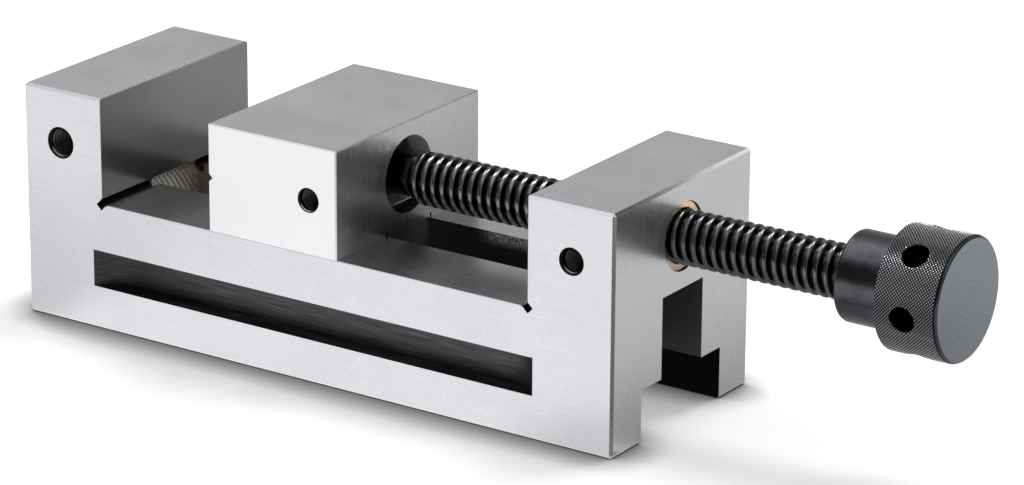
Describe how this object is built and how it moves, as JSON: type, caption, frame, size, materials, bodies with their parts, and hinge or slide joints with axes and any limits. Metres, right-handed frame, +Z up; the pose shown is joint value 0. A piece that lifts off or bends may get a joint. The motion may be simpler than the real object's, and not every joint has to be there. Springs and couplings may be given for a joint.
{
  "type": "precision screw vice",
  "caption": "Ground steel vice with a fixed jaw and a screw-driven sliding jaw, knurled knob with tommy-bar holes, and clamping slots along its sides.",
  "frame": {"origin": "on the base, at mid width, below the middle of the fixed jaw", "axes": "+X along the screw from the fixed jaw to the knob, +Y across the jaws, +Z up"},
  "size_m": [0.3653, 0.088, 0.09],
  "materials": {
    "ground_steel": "hardened steel, ground on all faces, fine straight grain",
    "black_steel": "black oxide over turned and knurled steel, oiled",
    "bronze": "turned bronze"
  },
  "bodies": {
    "vice_body": {"body": "ground_steel", "bronze_nut": "bronze", "nut_lock_screw_near": "black_steel", "nut_lock_screw_far": "black_steel"},
    "jaw_carriage": {"moving_jaw": "ground_steel", "keeper_plate": "ground_steel", "keeper_screw_front": "black_steel", "keeper_screw_rear": "black_steel", "keeper_washer_front": "black_steel", "keeper_washer_rear": "black_steel", "retaining_key": "ground_steel", "thrust_washer": "bronze"},
    "spindle_unit": {"spindle": "black_steel", "knob": "black_steel", "knob_set_screw": "black_steel"}
  },
  "joints": [
    {"name": "jaw_slide", "type": "slide", "parent": "vice_body", "child": "jaw_carriage", "axis": [1, 0, 0], "range_m": [-0.0488, 0.0763]},
    {"name": "spindle_turn", "type": "hinge", "parent": "jaw_carriage", "child": "spindle_unit", "pos_m": [0, 0, 0.068], "axis": [1, 0, 0], "range_deg": [-4400, 6875]}
  ],
  "couplings": [
    {"joint": "spindle_turn", "follows": "jaw_slide", "rad_per_m": 1570.8}
  ]
}
